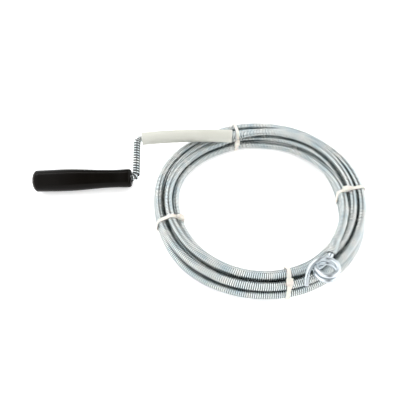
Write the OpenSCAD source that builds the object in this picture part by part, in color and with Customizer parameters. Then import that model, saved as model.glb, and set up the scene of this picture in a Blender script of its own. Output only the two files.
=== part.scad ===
// Drain auger: a spring cable wound into a tied coil.  Its driving end is bent into
// a crank that carries a grip and a guide tube, and its far end holds a corkscrew.
// Frame: the origin is the centre of the coil, on the surface that the coil lies on.
// +Z is up, and +X runs from the grip towards the coil.  All sizes are millimetres.

/* [Cable] */
// Outside diameter of the spring cable
cable_d = 9; // [8.8:0.1:9.2]
// Diameter of the wire that the spring cable is wound from
wire_d = 1.9; // [1.6:0.1:2]
// Radius of the coil, to the middle of its turns
coil_r = 103; // [102:0.5:104]

/* [Crank] */
// Place of the crank's arm along X
arm_x = -137; // [-138:0.5:-136.5]
// Radius of the two crank bends, to the middle of the cable
bend_r = 6; // [5.5:0.5:6]
// Distance of the grip's axis from the coil's centre, along Y
grip_y = 35.3; // [33:0.1:38]
// Distance of the guide tube's axis from the coil's centre, along Y
guide_y = 87.8; // [87:0.1:88.5]
// Gap between the crank's arm and the pieces that turn beside it
side_gap = 0.5; // [0.4:0.1:0.8]

/* [Grip] */
// Length of the grip's sleeve, without its end cap
grip_len = 107; // [100:1:115]
// Largest diameter of the grip
grip_d = 25.8; // [25:0.1:27]
// Diameter of the grip at its waist
waist_d = 20.8; // [20:0.1:22]
// Height of the domed end cap
cap_h = 5.8; // [4:0.1:8]

/* [Guide tube] */
// Outside diameter of the guide tube
guide_d = 15.4; // [15.2:0.1:15.6]
// Wall thickness of the guide tube
guide_wall = 1.5; // [1.3:0.1:1.5]
// Bow of the guide tube, from its chord to the middle of its length
guide_bow = 3; // [2:0.1:3]
// Place along X of the guide tube's far end
guide_end_x = -20; // [-22:0.5:-19]

/* [Ties] */
// Width of a cable tie's strap
strap_w = 3.8; // [3:0.1:4.5]
// Thickness of a cable tie's strap
strap_t = 1.1; // [0.9:0.1:1.3]

/* [Corkscrew] */
// Diameter of the corkscrew's wire
hook_d = 4.2; // [3.8:0.1:4.4]
// Radius of the corkscrew, to the middle of its wire
hook_r = 9.5; // [9:0.5:10.5]
// Rise of the corkscrew in one turn
hook_pitch = 6; // [6:0.5:9]

/* [Hidden] */
$fn = 64;
eps = 0.01;

// Rows of the coil: three rows of turns nest in each other's grooves.
row_h = cable_d * sqrt(3) / 2;
coil_w = 3 * cable_d;
coil_h = cable_d + 2 * row_h;

// The coil isn't quite round.  Each swell: its height, its angle around the coil and the
// angle that it fades over.
swells = [[8, 55, 66], [-2, -172, 45]];
function apart(a, b) = abs((a - b + 900) % 360 - 180);
function swell(a, s) = let (d = apart(a, s[1])) d < s[2] ? s[0] * (1 + cos(180 * d / s[2])) / 2 : 0;
function ring_r(a) = coil_r + swell(a, swells[0]) + swell(a, swells[1]);

// The grip just clears the surface, and the guide tube turns just above two rows of turns.
grip_z = grip_d / 2 + 0.25;
turn_gap = 0.2;
guide_z = cable_d + row_h + guide_d / 2 + guide_bow / 2 + turn_gap;

// The crank lies in a plane that tilts about X, from the grip's axis to the guide tube's.
arm_len = norm([guide_y - grip_y, guide_z - grip_z]);
arm_tilt = atan2(guide_z - grip_z, guide_y - grip_y);
mouth_x = arm_x - cable_d / 2 - side_gap;
guide_start_x = arm_x + cable_d / 2 + side_gap;

// Inside the grip, measured from its mouth: bore, then a chamber that the end cap closes.
bore_r = cable_d / 2 + 0.1;
flare_r = 6.4;
flare_len = 4;
chamber_len = 16;
chamber_r = 9.5;
washer_r = 8.8;
washer_t = 1.5;
ferrule_r = 6.5;
ferrule_len = 8;
spigot_len = 4.5;
core_d = 5;
fit_gap = 0.05;

chamber_s = grip_len - chamber_len;
ferrule_s = chamber_s + washer_t + 4 * fit_gap;
cable_end_s = ferrule_s + ferrule_len;

// The guide tube is an arc.  Its chord and its middle lie on either side of its axis.
guide_half = (guide_end_x - guide_start_x) / 2;
guide_mid_x = (guide_end_x + guide_start_x) / 2;
guide_arc_r = (guide_half * guide_half + guide_bow * guide_bow) / (2 * guide_bow);
end_tilt = asin((guide_half - 1) / guide_arc_r);
guide_flare = 0.9;
free_x = guide_end_x + 1;

// Route of the free cable from the guide tube into the coil.
lead_route = [[free_x, guide_y, guide_z], [-14, 88.2, 26], [-6, 89.4, 25], [4, 91.8, 23.8],
    [14, 94, 22.6], [27, 96.5, 21.5]];
// Route of the last stretch, out of the coil and across its turns to the corkscrew.
tail_route = [[92, 22, 21], [95.5, 5, 21], [91.5, -10, 22], [86, -24, 23.5], [82, -36, 24.5],
    [77.5, -47, 25.5], [68, -65, 27.5], [58.5, -81.5, 29.2]];
cable_sides = 10;

// The corkscrew stands on the coil, leaning away from the near side.
hook_centre = [48, -102.6, 29.4];
hook_lean = 16;
hook_first = 110;
hook_last = 800;
hook_step = 15;
hook_sides = 8;
// Its shank comes out of the cable's end, and its free end drops outside the turns.
shank_route = [[62.5, -74.6, 28.4], [58.5, -81.5, 29.1], [54.8, -87, 29], [50.2, -90.8, 28.1]];
free_end_route = [[42, -91.6, 37.2], [37.5, -93.6, 35.2], [34, -97, 32.4], [31.5, -101.5, 29.7],
    [29.8, -106, 27.8], [28.6, -112, 26.9]];

// Each tie: angle around the coil, turn out of the radial plane, and its head's place and tilt.
top_tie = [97.2, -7.2, [-19, 19], 100];
right_tie = [-0.5, 10.5, [-8, 27.2], 0];
bottom_tie = [-81.7, -15, [6, 27.2], 0];
left_tie = [197.5, -12, [-11, 22], 60];
head_size = [7.5, 4.4, 6.2];

steel = "silver";
black = [0.08, 0.08, 0.08];
milk = [0.92, 0.91, 0.88];
nylon = [0.97, 0.95, 0.92];

// Half a cosine wave from a at s = s0 to b at s = s1.
function ease(s, s0, s1, a, b) = a + (b - a) * (1 - cos(180 * (s - s0) / (s1 - s0))) / 2;

// Direction of a route at its point i.
function heading(p, i) =
    let (v = p[min(i + 1, len(p) - 1)] - p[max(i - 1, 0)]) v / norm(v);

// One ring of n points around point i of a route.
function ring(p, i, r, n) =
    let (t = heading(p, i), side = cross(t, [0, 0, 1]), s = side / norm(side), u = cross(s, t))
    [for (k = [0 : n - 1]) p[i] + r * (cos(360 * k / n) * s + sin(360 * k / n) * u)];

// A tube of diameter d and n sides along a route.
module sweep(p, d, n) {
    rings = [for (i = [0 : len(p) - 1]) each ring(p, i, d / 2, n)];
    last = n * (len(p) - 1);
    sides = [for (i = [0 : len(p) - 2], k = [0 : n - 1])
        let (a = i * n + k, b = i * n + (k + 1) % n) each [[a, b, b + n], [a, b + n, a + n]]];
    near_cap = [for (k = [n - 1 : -1 : 0]) k];
    far_cap = [for (k = [0 : n - 1]) last + k];
    polyhedron(points = rings, faces = concat(sides, [near_cap, far_cap]), convexity = 10);
}

// Grip coordinates: Z runs from the grip's mouth to its closed end.
module on_grip_axis() {
    translate([mouth_x, grip_y, grip_z]) rotate([0, -90, 0]) children();
}

// Crank coordinates: X along the grip's axis, Y along the arm, from the first corner.
module on_crank_plane() {
    translate([arm_x, grip_y, grip_z]) rotate([arm_tilt, 0, 0]) children();
}

// A rod of diameter d along the crank, from x = start to x = end.
module crank_rod(d, start, end) {
    on_crank_plane() {
        translate([start - arm_x, 0, 0]) rotate([0, 90, 0]) cylinder(d = d, h = arm_x - bend_r - start);
        translate([-bend_r, bend_r, 0]) rotate([0, 0, -90]) rotate_extrude(angle = 90)
            translate([bend_r, 0]) circle(d = d);
        translate([0, bend_r, 0]) rotate([-90, 0, 0]) cylinder(d = d, h = arm_len - 2 * bend_r);
        translate([bend_r, arm_len - bend_r, 0]) rotate([0, 0, 90]) rotate_extrude(angle = 90)
            translate([bend_r, 0]) circle(d = d);
        translate([bend_r, arm_len, 0]) rotate([0, 90, 0]) cylinder(d = d, h = end - arm_x - bend_r);
    }
}

// Outline of the sleeve, radius against distance from the mouth.
edge_r = 3.5;
mouth_r = 10.85;
joint_r = grip_d / 2 - 0.45;
waist_s = 18;
belly_s = 78;
sleeve_outline = concat(
    [for (a = [0 : 15 : 90]) [mouth_r - edge_r + edge_r * sin(a), edge_r - edge_r * cos(a)]],
    [for (s = [7 : 3.5 : waist_s]) [ease(s, edge_r, waist_s, mouth_r, waist_d / 2), s]],
    [for (s = [waist_s : 4 : belly_s]) [ease(s, waist_s, belly_s, waist_d / 2, grip_d / 2), s]],
    [for (s = [belly_s : 5 : grip_len - 1]) [ease(s, belly_s, grip_len, grip_d / 2, joint_r), s]],
    [[joint_r, grip_len], [0, grip_len], [0, 0]]);

module grip_shell() {
    color(black) on_grip_axis() difference() {
        rotate_extrude() polygon(sleeve_outline);
        translate([0, 0, -1]) cylinder(r = bore_r, h = grip_len + 2);
        translate([0, 0, -eps]) cylinder(r1 = flare_r, r2 = bore_r, h = flare_len);
        translate([0, 0, chamber_s]) cylinder(r = chamber_r, h = chamber_len + 1);
    }
}

module grip_end_cap() {
    dome = [for (a = [0 : 7.5 : 90]) [joint_r * cos(a), grip_len + 1 + (cap_h - 1) * sin(a)]];
    color(black) on_grip_axis() rotate_extrude() polygon(concat(
        [[0, grip_len - spigot_len], [chamber_r - fit_gap, grip_len - spigot_len],
            [chamber_r - fit_gap, grip_len], [joint_r, grip_len]], dome));
}

module grip_washer() {
    color(steel) on_grip_axis() translate([0, 0, chamber_s + fit_gap]) difference() {
        cylinder(r = washer_r, h = washer_t);
        translate([0, 0, -1]) cylinder(r = bore_r, h = washer_t + 2);
    }
}

module end_ferrule() {
    color(steel) on_grip_axis() translate([0, 0, ferrule_s]) difference() {
        cylinder(r = ferrule_r, h = ferrule_len);
        translate([0, 0, -1]) cylinder(d = cable_d, h = ferrule_len + 2);
    }
}

module crank_cable() {
    start = mouth_x - cable_end_s;
    color(steel) difference() {
        crank_rod(cable_d, start, free_x);
        crank_rod(cable_d - 2 * wire_d, start - 1, free_x + 1);
    }
}

module crank_core() {
    color(steel) crank_rod(core_d, mouth_x - cable_end_s, guide_start_x + 20);
}

// An arc of tube about the guide tube's own centre of curvature.
module guide_arc(r, angle) {
    translate([guide_mid_x, guide_y + guide_bow / 2 - guide_arc_r, guide_z])
        rotate([0, 0, 90 - angle]) rotate_extrude(angle = 2 * angle) translate([guide_arc_r, 0])
            circle(r = r);
}

module guide_tube() {
    inner_r = guide_d / 2 - guide_wall;
    flare_len = 2.5;
    color(milk) difference() {
        guide_arc(guide_d / 2, end_tilt);
        guide_arc(inner_r, end_tilt + 1);
        translate([guide_start_x - 1, guide_y - guide_bow / 2, guide_z]) rotate([0, 90, 0])
            cylinder(r1 = inner_r + guide_flare, r2 = inner_r - guide_wall / 4, h = flare_len + 1);
    }
}

module cable_lead() {
    color(steel) sweep(lead_route, cable_d, cable_sides);
}

// Outline of the coil's section, from the middle of its turns and the surface it lies on.
coil_outline = [[-cable_d, 0], [cable_d, 0], [coil_w / 2, cable_d], [coil_w / 2, coil_h - cable_d],
    [cable_d, coil_h], [-cable_d, coil_h], [-coil_w / 2, coil_h - cable_d], [-coil_w / 2, cable_d]];

module coil_ring() {
    steps = 120;
    n = len(coil_outline);
    rings = [for (i = [0 : steps - 1]) let (a = 360 * i / steps, r = ring_r(a))
        for (p = coil_outline) [(r + p[0]) * cos(a), (r + p[0]) * sin(a), p[1]]];
    sides = [for (i = [0 : steps - 1], k = [0 : n - 1])
        let (a = i * n + k, b = i * n + (k + 1) % n, c = ((i + 1) % steps) * n + (k + 1) % n,
            d = ((i + 1) % steps) * n + k)
        each [[a, b, c], [a, c, d]]];
    polyhedron(points = rings, faces = sides, convexity = 10);
}

module cable_coil() {
    trough_r = guide_d / 2 + guide_bow / 2 + 1.5 * turn_gap;
    color(steel) difference() {
        coil_ring();
        translate([guide_start_x - 10, guide_y, guide_z]) rotate([0, 90, 0])
            cylinder(r = trough_r, h = free_x - guide_start_x + 11);
    }
}

module cable_tail() {
    color(steel) sweep(tail_route, cable_d, cable_sides);
}

// A point of the corkscrew's helix at angle a.
function hook_point(a) =
    let (x = hook_r * cos(a), y = hook_r * sin(a), z = hook_pitch * (a - hook_first) / 360)
    hook_centre + [x, y * cos(hook_lean) + z * sin(hook_lean), z * cos(hook_lean) - y * sin(hook_lean)];

module corkscrew() {
    helix = [for (a = [hook_first : hook_step : hook_last]) hook_point(a)];
    color(steel) sweep(concat(shank_route, helix, free_end_route), hook_d, hook_sides);
}

// A strap around an outline of the bundle, with its head beside it.
module tie(place, outline) {
    angle = place[0];
    skew = place[1];
    head_at = place[2];
    head_tilt = place[3];
    color(nylon) rotate([0, 0, angle]) translate([ring_r(angle), 0, 0]) rotate([90, 0, skew]) {
        linear_extrude(strap_w, center = true) difference() {
            offset(delta = strap_t) polygon(outline);
            polygon(outline);
        }
        translate(head_at) rotate([0, 0, head_tilt]) cube(head_size, center = true);
    }
}

// Around the turns alone: the strap's lowest run lies on the surface.
snug = 0.2;
bundle = [[-cable_d, strap_t], [cable_d, strap_t], [coil_w / 2 + snug, cable_d],
    [coil_w / 2 + snug, coil_h - cable_d], [cable_d, coil_h + snug], [-cable_d, coil_h + snug],
    [-coil_w / 2 - snug, coil_h - cable_d], [-coil_w / 2 - snug, cable_d]];
// Around the turns and the cable that enters above their inner edge.
lead_u = guide_y + 1.2 - ring_r(top_tie[0]);
bundle_and_lead = [[-cable_d, strap_t], [cable_d, strap_t], [coil_w / 2 + snug, cable_d],
    [coil_w / 2 + snug, coil_h - cable_d], [cable_d, coil_h + snug], [-4, coil_h + snug + 2],
    [lead_u + 4, guide_z + 5], [lead_u - 2, guide_z + 5], [lead_u - 5, guide_z + 1.5],
    [lead_u - 5, guide_z - 3], [-coil_w / 2 - snug, cable_d]];

module tie_top() { tie(top_tie, bundle_and_lead); }
module tie_right() { tie(right_tie, bundle); }
module tie_bottom() { tie(bottom_tie, bundle); }
module tie_left() { tie(left_tie, bundle); }

grip_shell();
grip_end_cap();
grip_washer();
end_ferrule();
crank_cable();
crank_core();
guide_tube();
cable_lead();
cable_coil();
cable_tail();
corkscrew();
tie_top();
tie_right();
tie_bottom();
tie_left();
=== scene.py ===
"""Drain auger: a wound spring cable tied into a coil, with a crank, a grip, a guide tube and a corkscrew.

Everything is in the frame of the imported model: metres, +Z up, origin under the middle of the coil.
Lengths below are written in millimetres, and MM turns them into metres.
"""
import math

import bmesh
import bpy
import numpy as np
from mathutils import Matrix, Vector


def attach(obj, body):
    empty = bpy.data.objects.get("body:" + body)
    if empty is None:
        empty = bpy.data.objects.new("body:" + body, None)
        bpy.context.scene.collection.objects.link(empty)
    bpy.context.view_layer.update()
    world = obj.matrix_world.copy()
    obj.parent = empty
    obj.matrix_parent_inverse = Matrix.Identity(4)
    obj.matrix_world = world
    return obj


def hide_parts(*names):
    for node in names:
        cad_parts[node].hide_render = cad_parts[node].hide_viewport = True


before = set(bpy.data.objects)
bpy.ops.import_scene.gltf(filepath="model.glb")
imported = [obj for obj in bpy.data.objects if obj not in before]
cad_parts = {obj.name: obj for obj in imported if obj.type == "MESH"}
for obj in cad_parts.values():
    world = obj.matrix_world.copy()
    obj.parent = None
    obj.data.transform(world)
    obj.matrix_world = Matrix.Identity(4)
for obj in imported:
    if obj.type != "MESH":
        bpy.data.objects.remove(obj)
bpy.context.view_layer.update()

MM = 0.001

# ---------------------------------------------------------------- sizes shared with the CAD model

CABLE_D = 9.0
WIRE_D = 1.9
WINDING_R = (CABLE_D - WIRE_D) / 2
COIL_R = 103.0
ARM_X = -137.0
BEND_R = 6.0
GRIP_Y = 35.3
GRIP_Z = 13.15
GUIDE_Y = 87.8
GUIDE_Z = 26.194
SIDE_GAP = 0.5
MOUTH_X = ARM_X - CABLE_D / 2 - SIDE_GAP
GUIDE_START_X = ARM_X + CABLE_D / 2 + SIDE_GAP
GUIDE_END_X = -20.0
FREE_X = GUIDE_END_X + 1

# The cable's middle from the guide tube down to the coil, and from the coil up to the corkscrew.
LEAD_ROUTE = [
    (FREE_X, GUIDE_Y, GUIDE_Z), (-14, 88.2, 26), (-6, 89.4, 25), (4, 91.8, 23.8), (14, 94, 22.6),
    (27, 96.5, 21.5),
]
TAIL_ROUTE = [
    (91.5, -10, 22), (86, -24, 23.5), (82, -36, 24.5), (77.5, -47, 25.5), (68, -65, 27.5),
    (58.5, -81.5, 29.2),
]

# ---------------------------------------------------------------- the cable's path through the coil

# The cable goes clockwise round the coil, and each pass round it is cut into sections.
SECTIONS = 120
STEP = 360 / SECTIONS
FIRST_ANGLE = math.degrees(math.atan2(GUIDE_Y, FREE_X))
LAST_PASS = 7

# The least distance between the middles of two turns, and of a turn and the guide tube.
TURN_GAP = CABLE_D + 0.02
GUIDE_GAP = 13.75

# Each tie: its polar angle, how far it is turned out of the radial plane, and its head's place, as an
# offset from the coil's middle line and a height.
TIES = {
    "tie_top": (97.8, -7.8, (-19.0, 19.0)),
    "tie_right": (-0.5, 10.5, (-8.0, 27.2)),
    "tie_bottom": (-81.7, -15.0, (6.0, 27.2)),
    "tie_left": (197.5, -12.0, (-11.0, 22.0)),
}
STRAP_W = 3.8
STRAP_T = 1.1
STRAP_ROOM = STRAP_T + 0.05

# Within TIE_FLAT degrees of a tie the lowest turns lie on its strap, and by TIE_SPAN degrees that lift
# is gone. Within TIE_SPAN degrees the turns are also drawn harder to their places.
TIE_FLAT = 3
TIE_SPAN = 12

# The coil isn't quite round: it bulges between the top tie and the right one, and is drawn in at the left.
# Each swell: its height, its polar angle and the angle that it fades over.
SWELLS = [(8.0, 55.0, 66.0), (-2.0, -172.0, 45.0)]

# How the turns settle: rounds, smoothing, pull to the wished places, and pushes apart in each round.
SETTLING = [(600, 0.5, 0.03, 3), (300, 0.3, 0.004, 5), (150, 0.05, 0.0, 8)]


def degrees_apart(angle, other):
    """Degrees between two polar angles, the short way round."""
    return np.abs((angle - other + 180) % 360 - 180)


def coil_radius(angle):
    """Radius of the coil's middle line at a polar angle in degrees."""
    radius = COIL_R
    for height, middle, span in SWELLS:
        fade = np.minimum(degrees_apart(angle, middle) / span, 1)
        radius = radius + height / 2 * (1 + np.cos(np.pi * fade))
    return radius


def bundle(turn_by):
    """Six passes packed around a seventh, the lowest on the floor: offset and height of each."""
    rise = max(math.sin(math.radians(60 + abs(turn_by))), 0.87)
    middle = (0.0, CABLE_D / 2 + TURN_GAP * rise)
    places = {4: middle}
    for turn, angle in {0: 120, 1: 60, 2: 0, 3: -60, 5: -120, 6: 180}.items():
        a = math.radians(angle + turn_by)
        places[turn] = (TURN_GAP * math.cos(a), middle[1] + TURN_GAP * math.sin(a))
    return places


# Place of each pass in the bundle's section: offset from the coil's middle line, and height.
FLAT = bundle(0)
NEAR_SIDE = bundle(-7)
LEFT_SIDE = bundle(-30)
RIGHT_SIDE = {
    0: (1.3, 20.1), 1: (10.3, 20.1), 2: (10.3, 4.5), 3: (1.3, 4.5), 4: (5.8, 12.3), 5: (-7.7, 4.5),
    6: (-3.2, 12.3), 7: (-7.7, 20.1),
}
UNDER_GUIDE = {
    0: (-9, 12.3), 1: (9, 12.3), 2: (17, 4.5), 3: (5.5, 4.5), 4: (0, 12.3), 5: (-4.5, 4.5), 6: (-13.5, 4.5),
}
BACK_RIGHT = {
    0: (-4, 20.6), 1: (3, 20.1), 2: (9, 13), 3: (17, 4.5), 4: (4.5, 6), 5: (-4.5, 7.5), 6: (-8, 10),
    7: (-12, 5),
}
FANNED = {
    0: (-4.5, 20.1), 1: (6, 19), 2: (14, 8), 3: (5, 4.5), 4: (0, 12.3), 5: (-4.5, 4.5), 6: (-9.5, 12.3),
}

# The bundle's shape at polar angles, clockwise. The last pass leaves the coil after the right half.
RIGHT_HALF = [(50, BACK_RIGHT), (12, RIGHT_SIDE), (-2, RIGHT_SIDE)]
LEFT_HALF = [
    (-25, FLAT), (-60, NEAR_SIDE), (-98, NEAR_SIDE), (-130, FANNED), (-162.5, LEFT_SIDE),
    (178, LEFT_SIDE), (140, UNDER_GUIDE),
]


def clockwise(angle):
    """Clockwise angle from the guide tube's end to a polar angle."""
    return (FIRST_ANGLE - angle) % 360


def station(point):
    """A point's clockwise angle, offset from the coil's middle line, and height."""
    x, y, z = point
    angle = math.degrees(math.atan2(y, x))
    return clockwise(angle), math.hypot(x, y) - coil_radius(angle), z


def stations(turn):
    """The stations that one pass goes through."""
    if turn == 0:
        places = [station(point) for point in LEAD_ROUTE]
    else:
        places = [(0, *UNDER_GUIDE[turn - 1]), (6, *UNDER_GUIDE[turn - 1])]
    places += [(clockwise(angle), *shape[turn]) for angle, shape in RIGHT_HALF]
    if turn == LAST_PASS:
        return places + [station(point) for point in TAIL_ROUTE]
    places += [(clockwise(angle), *shape[turn]) for angle, shape in LEFT_HALF]
    return places + [(360, *UNDER_GUIDE[turn])]


def wished_places():
    """Offset and height that each section of the cable is drawn towards."""
    end_angle = station(TAIL_ROUTE[-1])[0]
    count = int(round((end_angle + 360 * LAST_PASS) / STEP)) + 1
    places = np.zeros((count, 2))
    tables = [np.array(stations(turn), float) for turn in range(LAST_PASS + 1)]
    for i in range(count):
        turn, section = divmod(i, SECTIONS)
        table = tables[turn]
        for axis in (0, 1):
            places[i, axis] = np.interp(section * STEP, table[:, 0], table[:, axis + 1])
    return places


def lay_cable():
    """Settle the turns: the cable stays smooth, and no turn lies in another, the floor or the guide."""
    wished = wished_places()
    count = len(wished)
    turns = LAST_PASS + 1
    angle = np.radians(FIRST_ANGLE - STEP * np.arange(count))
    ring_radius = coil_radius(np.degrees(angle))

    # The cable ends within the last pass: the places past its end are parked far off, out of reach.
    far_off = 1e4
    far_apart = 50
    full = np.full((turns * SECTIONS, 2), far_off)
    full += far_apart * np.arange(turns * SECTIONS)[:, None]
    full[:count] = wished

    section_angle = FIRST_ANGLE - STEP * np.arange(SECTIONS)
    lowest = np.full(SECTIONS, CABLE_D / 2)
    near_tie = np.zeros(SECTIONS)
    for tie_angle, _, _ in TIES.values():
        away = degrees_apart(section_angle, tie_angle)
        on_strap = np.clip(1 - (away - TIE_FLAT) / (TIE_SPAN - TIE_FLAT), 0, 1)
        lowest = np.maximum(lowest, CABLE_D / 2 + STRAP_ROOM * on_strap)
        near_tie = np.maximum(near_tie, np.clip(1 - away / TIE_SPAN, 0, 1))
    lowest = np.tile(lowest, turns)[:count]
    near_tie = np.tile(near_tie, turns)[:count, None]

    # Both ends of the path keep their places.
    held = np.zeros(count, bool)
    held[:3] = True
    held[-4:] = True
    itself = np.eye(turns, dtype=bool)[:, :, None]

    def part_turns():
        """Push turns apart where two overlap, by most of the overlap."""
        place = full.reshape(turns, SECTIONS, 2)
        apart = place[:, None] - place[None]
        distance = np.sqrt((apart ** 2).sum(-1)) + 1e-9
        over = np.clip(TURN_GAP - distance, 0, None)
        over[np.broadcast_to(itself, over.shape)] = 0
        place += 0.9 * ((over / 2 / distance)[..., None] * apart).sum(1)

    def keep_clear():
        """Lift turns off the floor and the straps, and move them out of the guide tube."""
        place = full[:count]
        radius = ring_radius + place[:, 0]
        x = radius * np.cos(angle)
        dy = radius * np.sin(angle) - GUIDE_Y
        dz = place[:, 1] - GUIDE_Z
        distance = np.hypot(dy, dz) + 1e-9
        beside = (x > GUIDE_START_X - 2) & (x < GUIDE_END_X + 0.5) & ~held
        over = np.where(beside & (distance < GUIDE_GAP), GUIDE_GAP - distance, 0)
        place[:, 0] += over * dy / distance * np.sin(angle)
        place[:, 1] += over * dz / distance
        place[:, 1] = np.maximum(place[:, 1], lowest)

    place = full[:count]
    for rounds, smooth, pull, pushes in SETTLING:
        for _ in range(rounds):
            place[1:-1] += smooth * ((place[:-2] + place[2:]) / 2 - place[1:-1])
            place += (pull + 3 * pull * near_tie) * (wished - place)
            for _ in range(pushes):
                part_turns()
                keep_clear()
                place[held] = wished[held]

    radius = ring_radius + full[:count, 0]
    return np.stack([radius * np.cos(angle), radius * np.sin(angle), full[:count, 1]], axis=1)


# ---------------------------------------------------------------- mesh helpers

UP = np.array([0.0, 0.0, 1.0])


def unit(v):
    """Vectors of length one."""
    return v / np.linalg.norm(v, axis=-1, keepdims=True)


def smooth_curve(points, spacing):
    """Points at an even spacing on a smooth curve through the given points, and the distance along it."""
    p = np.asarray(points, float)
    knots = np.concatenate([[0], np.cumsum(np.linalg.norm(np.diff(p, axis=0), axis=1))])
    slope = np.gradient(p, knots, axis=0)
    fine = np.linspace(0, knots[-1], int(2 * knots[-1] / spacing) + 3)
    i = np.clip(np.searchsorted(knots, fine, side="right") - 1, 0, len(p) - 2)
    h = (knots[i + 1] - knots[i])[:, None]
    t = (fine - knots[i])[:, None] / h
    curve = (2 * t**3 - 3 * t**2 + 1) * p[i] + (t**3 - 2 * t**2 + t) * h * slope[i]
    curve += (3 * t**2 - 2 * t**3) * p[i + 1] + (t**3 - t**2) * h * slope[i + 1]
    along = np.concatenate([[0], np.cumsum(np.linalg.norm(np.diff(curve, axis=0), axis=1))])
    count = int(round(along[-1] / spacing)) + 1
    even = np.linspace(0, along[-1], count)
    return np.stack([np.interp(even, along, curve[:, k]) for k in range(3)], axis=1), even


def directions(curve):
    """Tangent, side and upward direction at each point of a curve that is never vertical."""
    tangent = unit(np.gradient(curve, axis=0))
    side = unit(np.cross(tangent, UP))
    return tangent, side, np.cross(side, tangent)


def add_mesh(name, verts, faces, sharp=None):
    """A mesh object from points in millimetres."""
    mesh = bpy.data.meshes.new(name)
    mesh.from_pydata((np.asarray(verts, float) * MM).tolist(), [], faces)
    mesh.update()
    bm = bmesh.new()
    bm.from_mesh(mesh)
    bmesh.ops.recalc_face_normals(bm, faces=bm.faces)
    bm.to_mesh(mesh)
    bm.free()
    mesh.shade_smooth()
    if sharp is not None:
        mesh.set_sharp_from_angle(angle=math.radians(sharp))
    obj = bpy.data.objects.new(name, mesh)
    bpy.context.scene.collection.objects.link(obj)
    return obj


def ring_faces(rings, sides, closed=False):
    """Quads between rings of points, with end caps unless the last ring joins the first."""
    a = np.arange(rings if closed else rings - 1)[:, None] * sides
    b = (a + sides) % (rings * sides)
    k = np.arange(sides)[None, :]
    n = (k + 1) % sides
    quads = np.stack([a + k, a + n, b + n, b + k], axis=-1).reshape(-1, 4)
    faces = quads.tolist()
    if not closed:
        faces.append(list(range(sides - 1, -1, -1)))
        faces.append(list(range((rings - 1) * sides, rings * sides)))
    return faces


def wound_wire(name, route, pitch, steps, sides):
    """The cable's wire, wound along a route; pitch is a function of the distance along it."""
    curve, along = smooth_curve(route, 0.5)
    turns = np.concatenate([[0], np.cumsum(np.diff(along) / pitch((along[1:] + along[:-1]) / 2))])
    count = int(turns[-1] * steps)
    at = np.interp(np.arange(count + 1) / steps, turns, along)
    centre = np.stack([np.interp(at, along, curve[:, k]) for k in range(3)], axis=1)
    tangent, side, up = directions(curve)
    tangent, side, up = (
        unit(np.stack([np.interp(at, along, v[:, k]) for k in range(3)], axis=1))
        for v in (tangent, side, up)
    )
    phase = (2 * math.pi / steps * np.arange(count + 1))[:, None]
    outward = np.cos(phase) * side + np.sin(phase) * up
    around = np.cos(phase) * up - np.sin(phase) * side
    lead = unit(around * (2 * math.pi * WINDING_R) + tangent * pitch(at)[:, None])
    across = np.cross(lead, outward)
    # All but one of the section's corners are on its outward side, which is the side that shows.
    turn_angles = np.radians(np.append(np.linspace(-96, 96, sides - 1), 180))
    middle = centre + WINDING_R * outward
    verts = (
        middle[:, None]
        + WIRE_D / 2 * np.cos(turn_angles)[None, :, None] * outward[:, None]
        + WIRE_D / 2 * np.sin(turn_angles)[None, :, None] * across[:, None]
    ).reshape(-1, 3)
    wire = add_mesh(name, verts, ring_faces(count + 1, sides))
    # The crown runs from 1 where the wire faces outward to 0 where it meets the next turn; the wire's
    # material paints shade where it is low.
    crown = np.tile(np.clip(np.cos(turn_angles), 0, 1), count + 1)
    attribute = wire.data.attributes.new("crown", "FLOAT", "POINT")
    attribute.data.foreach_set("value", crown.astype(np.float32))
    return wire


def swept(name, curve, radii, sides):
    """A round rod along a curve, with a radius for each point."""
    tangent, side, up = directions(curve)
    a = np.linspace(0, 2 * math.pi, sides, endpoint=False)[None, :, None]
    verts = curve[:, None] + radii[:, None, None] * (np.cos(a) * side[:, None] + np.sin(a) * up[:, None])
    return add_mesh(name, verts.reshape(-1, 3), ring_faces(len(curve), sides), sharp=40)


def turned(name, outline, place, sides, closed=False):
    """A turned piece: outline is a list of (distance along the axis, radius), and place puts each
    ring's distance and offsets in the frame."""
    outline = np.asarray(outline, float)
    a = np.linspace(0, 2 * math.pi, sides, endpoint=False)
    rings = [place(s, r * np.cos(a), r * np.sin(a)) for s, r in outline]
    return add_mesh(name, np.concatenate(rings), ring_faces(len(outline), sides, closed), sharp=35)


# ---------------------------------------------------------------- materials


def new_material(name):
    """An empty material with its shader joined to its output."""
    material = bpy.data.materials.new(name)
    material.use_nodes = True
    tree = material.node_tree
    tree.nodes.clear()
    shader = tree.nodes.new("ShaderNodeBsdfPrincipled")
    output = tree.nodes.new("ShaderNodeOutputMaterial")
    tree.links.new(shader.outputs["BSDF"], output.inputs["Surface"])
    return material, tree, shader


def object_noise(tree, scale, detail):
    """Noise in the object's own space."""
    where = tree.nodes.new("ShaderNodeTexCoord")
    noise = tree.nodes.new("ShaderNodeTexNoise")
    noise.inputs["Scale"].default_value = scale
    noise.inputs["Detail"].default_value = detail
    tree.links.new(where.outputs["Object"], noise.inputs["Vector"])
    return noise.outputs["Fac"]


def ramp(tree, factor, stops):
    """A factor turned into colour by stops of (position, colour)."""
    node = tree.nodes.new("ShaderNodeValToRGB")
    elements = node.color_ramp.elements
    while len(elements) > len(stops):
        elements.remove(elements[-1])
    while len(elements) < len(stops):
        elements.new(0.5)
    for element, (position, colour) in zip(elements, stops):
        element.position = position
        element.color = (*colour, 1)
    tree.links.new(factor, node.inputs["Fac"])
    return node.outputs["Color"]


def spread(tree, factor, low, high):
    """A factor spread from low to high."""
    node = tree.nodes.new("ShaderNodeMapRange")
    node.inputs["To Min"].default_value = low
    node.inputs["To Max"].default_value = high
    tree.links.new(factor, node.inputs["Value"])
    return node.outputs["Result"]


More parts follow.
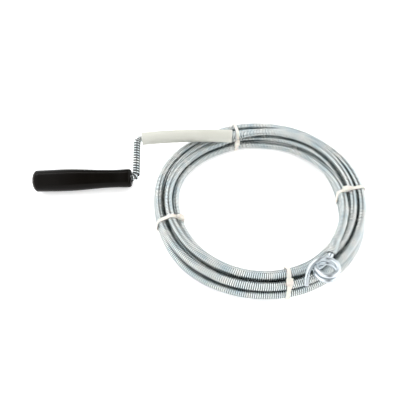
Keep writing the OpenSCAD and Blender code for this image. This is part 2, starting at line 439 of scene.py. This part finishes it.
def bump(tree, shader, height, strength, distance):
    """Surface relief from a height, up to a distance in metres."""
    node = tree.nodes.new("ShaderNodeBump")
    node.inputs["Strength"].default_value = strength
    node.inputs["Distance"].default_value = distance
    tree.links.new(height, node.inputs["Height"])
    tree.links.new(node.outputs["Normal"], shader.inputs["Normal"])


def steel_material(name, dark, light, rough):
    """Bright steel: patchy tone, fine drawing marks and a roughness that varies with them."""
    material, tree, shader = new_material(name)
    patches = object_noise(tree, 90, 5)
    grain = object_noise(tree, 1500, 3)
    tree.links.new(ramp(tree, patches, [(0.3, dark), (0.7, light)]), shader.inputs["Base Color"])
    tree.links.new(spread(tree, patches, rough[0], rough[1]), shader.inputs["Roughness"])
    bump(tree, shader, grain, 0.25, 0.00004)
    shader.inputs["Metallic"].default_value = 1.0
    return material


def plastic_material(name, dark, light, rough, bump_scale, bump_strength, **settings):
    """Moulded plastic: slight tone shifts, and a fine orange-peel surface."""
    material, tree, shader = new_material(name)
    patches = object_noise(tree, 40, 3)
    peel = object_noise(tree, bump_scale, 2)
    tree.links.new(ramp(tree, patches, [(0.3, dark), (0.7, light)]), shader.inputs["Base Color"])
    tree.links.new(spread(tree, peel, rough[0], rough[1]), shader.inputs["Roughness"])
    bump(tree, shader, peel, bump_strength, 0.0001)
    for socket, value in settings.items():
        shader.inputs[socket.replace("_", " ")].default_value = value
    return material


def wound_material(name, dark, light, groove_shade, rough):
    """Bright steel wire, with painted shade where one turn touches the next."""
    material, tree, shader = new_material(name)
    patches = object_noise(tree, 70, 5)
    grain = object_noise(tree, 1500, 3)
    steel = ramp(tree, patches, [(0.3, dark), (0.7, light)])
    # Painted shade: the dark colour covers the wire where its crown falls off towards the next turn.
    crown = tree.nodes.new("ShaderNodeAttribute")
    crown.attribute_name = "crown"
    painted_shade_mask = tree.nodes.new("ShaderNodeMapRange")
    painted_shade_mask.interpolation_type = "SMOOTHSTEP"
    painted_shade_mask.inputs["From Min"].default_value = 0.3
    painted_shade_mask.inputs["From Max"].default_value = 0.93
    tree.links.new(crown.outputs["Fac"], painted_shade_mask.inputs["Value"])
    mix = tree.nodes.new("ShaderNodeMix")
    mix.data_type = "RGBA"
    mix.inputs["A"].default_value = (*groove_shade, 1)
    tree.links.new(painted_shade_mask.outputs["Result"], mix.inputs["Factor"])
    tree.links.new(steel, mix.inputs["B"])
    tree.links.new(mix.outputs["Result"], shader.inputs["Base Color"])
    tree.links.new(spread(tree, patches, rough[0], rough[1]), shader.inputs["Roughness"])
    bump(tree, shader, grain, 0.2, 0.00004)
    shader.inputs["Metallic"].default_value = 1.0
    return material


MATERIALS = {
    "spring_steel": wound_material(
        "spring_steel",
        dark=(0.54, 0.63, 0.66),
        light=(0.79, 0.80, 0.77),
        # painted shade colour where one turn meets the next
        groove_shade=(0.012, 0.014, 0.016),
        rough=(0.2, 0.32),
    ),
    "plain_steel": steel_material(
        "plain_steel", dark=(0.30, 0.31, 0.32), light=(0.42, 0.43, 0.44), rough=(0.3, 0.45),
    ),
    # Darker than plain steel: partly the rod's dull finish, partly painted shade where it shows inside the
    # open winding.
    "core_steel_and_shade": steel_material(
        "core_steel_and_shade", dark=(0.16, 0.165, 0.17), light=(0.24, 0.245, 0.25), rough=(0.35, 0.5),
    ),
    "hook_steel": steel_material(
        "hook_steel", dark=(0.46, 0.51, 0.54), light=(0.60, 0.64, 0.67), rough=(0.22, 0.34),
    ),
    "grip_plastic": plastic_material(
        "grip_plastic",
        dark=(0.0025, 0.002, 0.0015),
        light=(0.005, 0.004, 0.003),
        rough=(0.13, 0.18),
        bump_scale=900,
        bump_strength=0.06,
        Specular_IOR_Level=0.07,
    ),
    # The grip's black plastic with a painted sheen: paler base colour.
    "cap_sheen_plastic": plastic_material(
        "cap_sheen_plastic",
        dark=(0.010, 0.008, 0.007),
        light=(0.018, 0.015, 0.012),
        rough=(0.25, 0.35),
        bump_scale=900,
        bump_strength=0.08,
        Specular_IOR_Level=0.25,
    ),
    "guide_plastic": plastic_material(
        "guide_plastic",
        dark=(0.72, 0.72, 0.645),
        light=(0.78, 0.78, 0.71),
        rough=(0.35, 0.45),
        bump_scale=300,
        bump_strength=0.1,
        Transmission_Weight=0.3,
        IOR=1.5,
    ),
    "tie_nylon": plastic_material(
        "tie_nylon",
        dark=(0.66, 0.63, 0.57),
        light=(0.74, 0.71, 0.65),
        rough=(0.4, 0.52),
        bump_scale=1200,
        bump_strength=0.1,
        Subsurface_Weight=0.2,
        Subsurface_Scale=0.001,
    ),
}


def finish_piece(obj, body, finish, *nodes):
    """Give a piece its material and slot, put it on its body, and hide the CAD nodes it stands for."""
    obj.data.materials.clear()
    obj.data.materials.append(MATERIALS[finish])
    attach(obj, body)
    if nodes:
        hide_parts(*nodes)
    return obj


def paint_node(node, finish):
    """A CAD node that stays: only its material changes."""
    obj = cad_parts[node]
    obj.data.materials.clear()
    obj.data.materials.append(MATERIALS[finish])
    for polygon in obj.data.polygons:
        polygon.material_index = 0


# ---------------------------------------------------------------- the free cable

cable_path = lay_cable()
cable_path[-1] = TAIL_ROUTE[-1]
PITCH = WIRE_D + 0.08


def close_wound(distance):
    """The pitch of the free cable, the same all along."""
    return np.full_like(distance, PITCH)


free_cable = wound_wire("spring_cable", cable_path, close_wound, steps=8, sides=5)
finish_piece(free_cable, "cable", "spring_steel", "cable_lead", "cable_coil", "cable_tail")

# ---------------------------------------------------------------- the crank

ARM_LEN = math.hypot(GUIDE_Y - GRIP_Y, GUIDE_Z - GRIP_Z)
ARM_TILT = math.atan2(GUIDE_Z - GRIP_Z, GUIDE_Y - GRIP_Y)
GRIP_LEN = 107.0
# How far inside the grip's mouth the cable ends.
CABLE_END_S = 100.7
# Straight runs start and stop this far from a bend.
BEND_EASE = 4


def bend(x, y, first, last):
    """Points of one of the crank's bends around its centre, in the crank's plane."""
    angles = [math.radians(a) for a in np.linspace(first, last, 13)]
    return [(x + BEND_R * math.cos(a), y + BEND_R * math.sin(a)) for a in angles]


def crank_route():
    """Middle of the cable from its end in the grip, along the arm, to the guide tube's end."""
    grip_end = ARM_X - BEND_R
    arm_top = ARM_LEN - BEND_R
    guide_start = ARM_X + BEND_R
    flat = [(MOUTH_X - CABLE_END_S, 0.0)]
    flat += [(x, 0.0) for x in np.linspace(MOUTH_X - 60, grip_end - BEND_EASE, 12)]
    flat += bend(grip_end, BEND_R, -90, 0)
    flat += [(ARM_X, y) for y in np.linspace(BEND_R + BEND_EASE, arm_top - BEND_EASE, 10)]
    flat += bend(guide_start, arm_top, 180, 90)
    flat += [(x, ARM_LEN) for x in np.linspace(guide_start + BEND_EASE, FREE_X, 20)]
    return np.array([
        (x, GRIP_Y + y * math.cos(ARM_TILT), GRIP_Z + y * math.sin(ARM_TILT)) for x, y in flat
    ])


# The winding opens and closes over PITCH_EASE, along the distance from the cable's end in the grip.
OPEN_PITCH = 3.4
PITCH_EASE = 8
OPEN_START = CABLE_END_S - 4
OPEN_END = OPEN_START + ARM_LEN + 16


def crank_pitch(distance):
    """Close wound in the grip and the guide tube, open along the arm."""
    rise = np.clip((distance - OPEN_START) / PITCH_EASE, 0, 1)
    fall = np.clip((OPEN_END - distance) / PITCH_EASE, 0, 1)
    return PITCH + (OPEN_PITCH - PITCH) * rise * fall


crank = wound_wire("crank_spring", crank_route(), crank_pitch, steps=14, sides=8)
finish_piece(crank, "cable", "spring_steel", "crank_cable")
paint_node("crank_core", "core_steel_and_shade")
paint_node("end_ferrule", "plain_steel")
paint_node("grip_washer", "plain_steel")

# ---------------------------------------------------------------- the grip


def on_grip_axis(s, across, up):
    """Grip coordinates: s runs from the mouth to the closed end."""
    return np.stack([np.full_like(across, MOUTH_X - s), GRIP_Y + across, GRIP_Z + up], axis=1)


def ease(s, s0, s1, a, b):
    """A smooth step from a at s0 to b at s1."""
    return a + (b - a) * (1 - math.cos(math.pi * (s - s0) / (s1 - s0))) / 2


GRIP_R = 12.9
JOINT_R = GRIP_R - 0.45
MOUTH_R = 10.85
WAIST_R = 10.4
EDGE_R = 3.5
WAIST_S = 18.0
BELLY_S = 78.0
CHAMBER_S = GRIP_LEN - 16
CHAMBER_R = 9.5
BORE_R = CABLE_D / 2 + 0.1
MOUTH_BORE_R = 6.4
MOUTH_DEPTH = 4.0

sleeve = [(EDGE_R - EDGE_R * math.cos(a), MOUTH_R - EDGE_R + EDGE_R * math.sin(a))
          for a in np.linspace(0, math.pi / 2, 10)]
sleeve += [(s, ease(s, EDGE_R, WAIST_S, MOUTH_R, WAIST_R)) for s in np.linspace(5, WAIST_S, 8)]
sleeve += [(s, ease(s, WAIST_S, BELLY_S, WAIST_R, GRIP_R)) for s in np.linspace(WAIST_S + 3, BELLY_S, 20)]
sleeve += [(s, ease(s, BELLY_S, GRIP_LEN, GRIP_R, JOINT_R))
           for s in np.linspace(BELLY_S + 3, GRIP_LEN - 0.6, 10)]
sleeve += [
    (GRIP_LEN - 0.25, JOINT_R - 0.1), (GRIP_LEN - 0.05, JOINT_R - 0.4), (GRIP_LEN - 0.05, CHAMBER_R),
    (CHAMBER_S, CHAMBER_R), (CHAMBER_S, BORE_R), (MOUTH_DEPTH, BORE_R), (0.0, MOUTH_BORE_R),
]
grip = turned("grip_sleeve", sleeve, on_grip_axis, 128, closed=True)
finish_piece(grip, "grip", "grip_plastic", "grip_shell")

CAP_H = 5.8
CAP_RIM = 1.0
PLUG_LEN = 4.5
PLUG_R = 9.4
cap = [
    (GRIP_LEN - PLUG_LEN, 0.02), (GRIP_LEN - PLUG_LEN, PLUG_R), (GRIP_LEN + 0.05, PLUG_R),
    (GRIP_LEN + 0.05, JOINT_R - 0.45), (GRIP_LEN + 0.3, JOINT_R - 0.08), (GRIP_LEN + 0.7, JOINT_R),
]
cap += [(GRIP_LEN + CAP_RIM + (CAP_H - CAP_RIM) * math.sin(a), JOINT_R * math.cos(a))
        for a in np.linspace(0.06, math.pi / 2 - 0.01, 22)]
end_cap = turned("grip_cap", cap, on_grip_axis, 128)
finish_piece(end_cap, "grip", "grip_plastic", "grip_end_cap")
# The cap has the grip's slot in the record; it is the grip's black plastic, painted a little paler as a
# painted sheen, and rougher.
end_cap.data.materials[0] = MATERIALS["cap_sheen_plastic"]

# ---------------------------------------------------------------- the guide tube

GUIDE_R = 7.7
GUIDE_WALL = 1.5
GUIDE_BOW = 3.0
# The tube is bowed on an arc in its level plane, and the arc's middle lies half the bow behind its axis.
half = (GUIDE_END_X - GUIDE_START_X) / 2
guide_mid = (GUIDE_END_X + GUIDE_START_X) / 2
arc_r = (half**2 + GUIDE_BOW**2) / (2 * GUIDE_BOW)
arc_y = GUIDE_Y + GUIDE_BOW / 2 - arc_r
end_tilt = math.asin((half - 1) / arc_r)


def on_guide_arc(s, across, up):
    """Guide coordinates: s is the share of the tube's arc, from -1 at the crank to 1."""
    a = s * end_tilt
    reach = arc_r + across
    return np.stack([guide_mid + reach * math.sin(a), arc_y + reach * math.cos(a), GUIDE_Z + up], axis=1)


inner_r = GUIDE_R - GUIDE_WALL
rim = 0.35
edge = rim / (half - 1)
guide_outline = [
    (-1.0, inner_r + 1.0), (-1.0, GUIDE_R - rim), (-1 + edge * 0.35, GUIDE_R - 0.1), (-1 + edge, GUIDE_R),
]
guide_outline += [(s, GUIDE_R) for s in np.linspace(-0.97, 0.97, 40)]
guide_outline += [
    (1 - edge, GUIDE_R), (1 - edge * 0.35, GUIDE_R - 0.1), (1.0, GUIDE_R - rim), (1.0, inner_r + 0.2),
]
guide_outline += [(s, inner_r) for s in np.linspace(0.99, -0.94, 40)]
guide = turned("guide_sleeve", guide_outline, on_guide_arc, 64, closed=True)
finish_piece(guide, "guide", "guide_plastic", "guide_tube")

# ---------------------------------------------------------------- the corkscrew

HOOK_D = 4.2
HOOK_R = 9.5
HOOK_PITCH = 6.0
HOOK_CENTRE = np.array([48.0, -102.6, 29.4])
HOOK_LEAN = math.radians(16)
HOOK_FIRST = 110
HOOK_LAST = 800
# The shank fills the cable's bore where it is pressed in, and thins just past the cable's end.
BORE_FIT_R = 2.7
PRESSED_TO = 12
PRESSED_EASE = 3
TIP_EASE = 0.8
SHANK_ROUTE = [(62.5, -74.6, 28.4), (58.5, -81.5, 29.1), (54.8, -87, 29), (50.2, -90.8, 28.1)]
FREE_END_ROUTE = [
    (42, -91.6, 37.2), (37.5, -93.6, 35.2), (34, -97, 32.4), (31.5, -101.5, 29.7), (29.8, -106, 27.8),
    (28.6, -112, 26.9),
]


def hook_point(angle):
    """A point of the corkscrew's leaning helix, at degrees round it."""
    a = math.radians(angle)
    x = HOOK_R * math.cos(a)
    y = HOOK_R * math.sin(a)
    z = HOOK_PITCH * (angle - HOOK_FIRST) / 360
    lean = (math.cos(HOOK_LEAN), math.sin(HOOK_LEAN))
    return HOOK_CENTRE + np.array([x, y * lean[0] + z * lean[1], z * lean[0] - y * lean[1]])


helix = [tuple(hook_point(a)) for a in range(HOOK_FIRST, HOOK_LAST + 1, 15)]
hook_curve, hook_along = smooth_curve(SHANK_ROUTE + helix + FREE_END_ROUTE, 0.7)
from_end = np.clip((hook_along[-1] - hook_along) / TIP_EASE, 0, 1)
pressed_in = np.clip((PRESSED_TO - hook_along) / PRESSED_EASE, 0, 1)
hook_radii = HOOK_D / 2 * np.sqrt(1 - 0.5 * (1 - from_end) ** 2)
hook_radii = hook_radii + (BORE_FIT_R - HOOK_D / 2) * pressed_in
corkscrew = swept("corkscrew_wire", hook_curve, hook_radii, 20)
finish_piece(corkscrew, "cable", "hook_steel", "corkscrew")

# ---------------------------------------------------------------- the cable ties


# Turns further than this from a tie's middle are on the other side of the coil.
TIE_REACH = 45
# The head's middle lies HEAD_RISE outside the strap's inner line, and the strap's cut-off tail sticks out.
HEAD_SIZE = (6.6, 4.3, 6.0)
HEAD_RISE = 2.15
STUB_SIZE = (3.4, 1.1, 3.5)
STUB_SHIFT = (-4.2, 0.6, 0)


def hull(points):
    """Convex hull of flat points, anticlockwise."""
    points = sorted(map(tuple, points))

    def chain(items):
        """One side of the hull."""
        out = []
        for p in items:
            while len(out) > 1:
                (ax, ay), (bx, by) = out[-2], out[-1]
                if (bx - ax) * (p[1] - ay) - (by - ay) * (p[0] - ax) > 1e-9:
                    break
                out.pop()
            out.append(p)
        return out

    return np.array(chain(points)[:-1] + chain(points[::-1])[:-1])


def even_loop(loop, count):
    """Points at an even spacing round a closed loop."""
    closed = np.vstack([loop, loop[:1]])
    along = np.concatenate([[0], np.cumsum(np.linalg.norm(np.diff(closed, axis=0), axis=1))])
    at = np.linspace(0, along[-1], count, endpoint=False)
    return np.stack([np.interp(at, along, closed[:, k]) for k in (0, 1)], axis=1)


def rounded_block(name, size, bevel, shift=(0, 0, 0)):
    """A block with rounded edges."""
    bm = bmesh.new()
    bmesh.ops.create_cube(bm, size=1)
    bmesh.ops.scale(bm, vec=Vector(size), verts=bm.verts)
    bmesh.ops.bevel(bm, geom=bm.edges[:], offset=bevel, segments=3, affect="EDGES", profile=0.5)
    bmesh.ops.translate(bm, vec=Vector(shift), verts=bm.verts)
    mesh = bpy.data.meshes.new(name)
    bm.to_mesh(mesh)
    bm.free()
    return mesh


def strap_loop(origin, across, normal):
    """The strap's inner line around the turns that cross a tie's plane, and its outward directions."""
    curve, _ = smooth_curve(cable_path, 1.0)
    offset = curve - origin
    height = offset @ normal
    near = np.linalg.norm(offset, axis=1) < TIE_REACH
    cross = np.nonzero((height[:-1] * height[1:] <= 0) & near[:-1])[0]
    circle = np.linspace(0, 2 * math.pi, 40, endpoint=False)
    reach = CABLE_D / 2 + 0.04
    outline = []
    for i in cross:
        # A turn that crosses the plane at a slant is wider in it.
        heading = unit(curve[i + 1] - curve[i])
        widen = 1 / max(abs(heading @ normal), 0.5)
        u = offset[i] @ across
        z = offset[i][2]
        outline += list(zip(u + reach * widen * np.cos(circle), z + reach * np.sin(circle)))
    loop = even_loop(hull(outline), 96)
    for _ in range(2):
        loop = (np.roll(loop, 1, 0) + 2 * loop + np.roll(loop, -1, 0)) / 4
    tangent = unit(np.roll(loop, -1, 0) - np.roll(loop, 1, 0))
    outward = np.stack([tangent[:, 1], -tangent[:, 0]], axis=1)
    return loop + outward * 0.06, tangent, outward


def add_tie(name, angle, skew, head_at):
    """A strap drawn tight around the turns where they cross its plane, with its head."""
    turn = math.radians(angle)
    ring = coil_radius(angle)
    origin = np.array([ring * math.cos(turn), ring * math.sin(turn), 0.0])
    lean = math.radians(angle + skew)
    across = np.array([math.cos(lean), math.sin(lean), 0.0])
    normal = np.cross(across, UP)
    loop, tangent, outward = strap_loop(origin, across, normal)

    # The strap's section: width across the plane, thickness outward, with softened corners.
    w = STRAP_W / 2
    t = STRAP_T
    c = 0.25
    section = [
        (-w, c), (-w + c, 0), (w - c, 0), (w, c), (w, t - c), (w - c, t), (-w + c, t), (-w, t - c),
    ]

    def place(u, z, n):
        """A point from its offset in the tie's plane, its height and its distance from the plane."""
        return origin + u * across + z * UP + n * normal

    verts = []
    for (u, z), (ou, oz) in zip(loop, outward):
        for n, out in section:
            verts.append(place(u + out * ou, z + out * oz, n))
    strap = add_mesh("nylon_" + name, verts, ring_faces(len(loop), len(section), closed=True), sharp=50)

    # The head sits on the strap at the point of the loop nearest its place in the CAD model.
    i = int(np.argmin(np.linalg.norm(loop - np.array(head_at), axis=1)))
    axis_x = across * tangent[i][0] + UP * tangent[i][1]
    axis_y = across * outward[i][0] + UP * outward[i][1]
    axis_z = np.cross(axis_x, axis_y)
    middle = place(*(loop[i] + outward[i] * HEAD_RISE), 0)
    matrix = Matrix([*zip(axis_x, axis_y, axis_z, middle), (0, 0, 0, 1)])
    head = rounded_block(name + "_head", HEAD_SIZE, 0.7)
    stub = rounded_block(name + "_stub", STUB_SIZE, 0.2, STUB_SHIFT)

    joined = bmesh.new()
    joined.from_mesh(strap.data)
    for part in (head, stub):
        part.transform(Matrix.Scale(MM, 4) @ matrix)
        joined.from_mesh(part)
        bpy.data.meshes.remove(part)
    joined.to_mesh(strap.data)
    joined.free()
    strap.data.shade_smooth()
    strap.data.set_sharp_from_angle(angle=math.radians(35))
    return finish_piece(strap, "cable", "tie_nylon", name)


ties = [add_tie(name, *facts) for name, facts in TIES.items()]

# ---------------------------------------------------------------- the cable's middle line at an even spacing

cord_route, _ = smooth_curve(cable_path, 5.0)

# ---------------------------------------------------------------- floor, light and camera

FLOOR_REACH = 4
floor_corners = [(x * FLOOR_REACH, y * FLOOR_REACH, 0) for x, y in ((-1, -1), (1, -1), (1, 1), (-1, 1))]
floor_mesh = bpy.data.meshes.new("studio_floor")
floor_mesh.from_pydata(floor_corners, [], [(0, 1, 2, 3)])
floor = bpy.data.objects.new("studio_floor", floor_mesh)
bpy.context.scene.collection.objects.link(floor)
floor_material, _, floor_shader = new_material("studio_floor")
floor_shader.inputs["Base Color"].default_value = (0.9, 0.9, 0.9, 1)
floor_shader.inputs["Roughness"].default_value = 0.9
floor_shader.inputs["Specular IOR Level"].default_value = 0.1
floor_shader.inputs["Emission Color"].default_value = (1, 1, 1, 1)
floor_shader.inputs["Emission Strength"].default_value = 0.4
floor.data.materials.append(floor_material)


def add_area(name, place, target, size, power):
    """A rectangular light at a place, facing a target, in metres and watts."""
    data = bpy.data.lights.new(name, "AREA")
    data.shape = "RECTANGLE"
    data.size, data.size_y = size
    data.energy = power
    obj = bpy.data.objects.new(name, data)
    obj.location = place
    obj.rotation_euler = (Vector(target) - Vector(place)).to_track_quat("-Z", "Y").to_euler()
    bpy.context.scene.collection.objects.link(obj)


# The sky is bright at both sides and dim in a band over the middle, from front to back.
SKY_STOPS = [
    (0.0, (0.2, 0.2, 0.2)), (0.17, (0.26, 0.26, 0.26)), (0.5, (2.1, 2.1, 2.1)), (1.0, (2.3, 2.32, 2.34)),
]
world = bpy.data.worlds.new("studio")
bpy.context.scene.world = world
world.use_nodes = True
sky = world.node_tree
background = sky.nodes["Background"]
background.inputs["Strength"].default_value = 1.0
sky_place = sky.nodes.new("ShaderNodeTexCoord")
sky_parts = sky.nodes.new("ShaderNodeSeparateXYZ")
sideways = sky.nodes.new("ShaderNodeMath")
sideways.operation = "ABSOLUTE"
sky.links.new(sky_place.outputs["Generated"], sky_parts.inputs["Vector"])
sky.links.new(sky_parts.outputs["X"], sideways.inputs[0])
sky.links.new(ramp(sky, sideways.outputs["Value"], SKY_STOPS), background.inputs["Color"])

# A narrow strip behind the object draws the highlights along the wire.
add_area("strip_back", (-0.6, 1.25, 1.35), (-0.1, 0, 0), (2.0, 0.06), 6)

# The camera's place in millimetres, and its view: degrees below level, and degrees right of the back.
CAMERA_AT = np.array([-74.4, -250.1, 347.9])
CAMERA_DOWN = 53.2
CAMERA_RIGHT = 2.4
camera_data = bpy.data.cameras.new("camera")
camera_data.lens = 33.75
camera_data.sensor_width = 36
camera_data.clip_start = 0.01
camera = bpy.data.objects.new("camera", camera_data)
camera.location = Vector(CAMERA_AT * MM)
camera.rotation_euler = (math.radians(90 - CAMERA_DOWN), 0, math.radians(-CAMERA_RIGHT))
bpy.context.scene.collection.objects.link(camera)
bpy.context.scene.camera = camera
bpy.context.scene.view_settings.view_transform = "Standard"
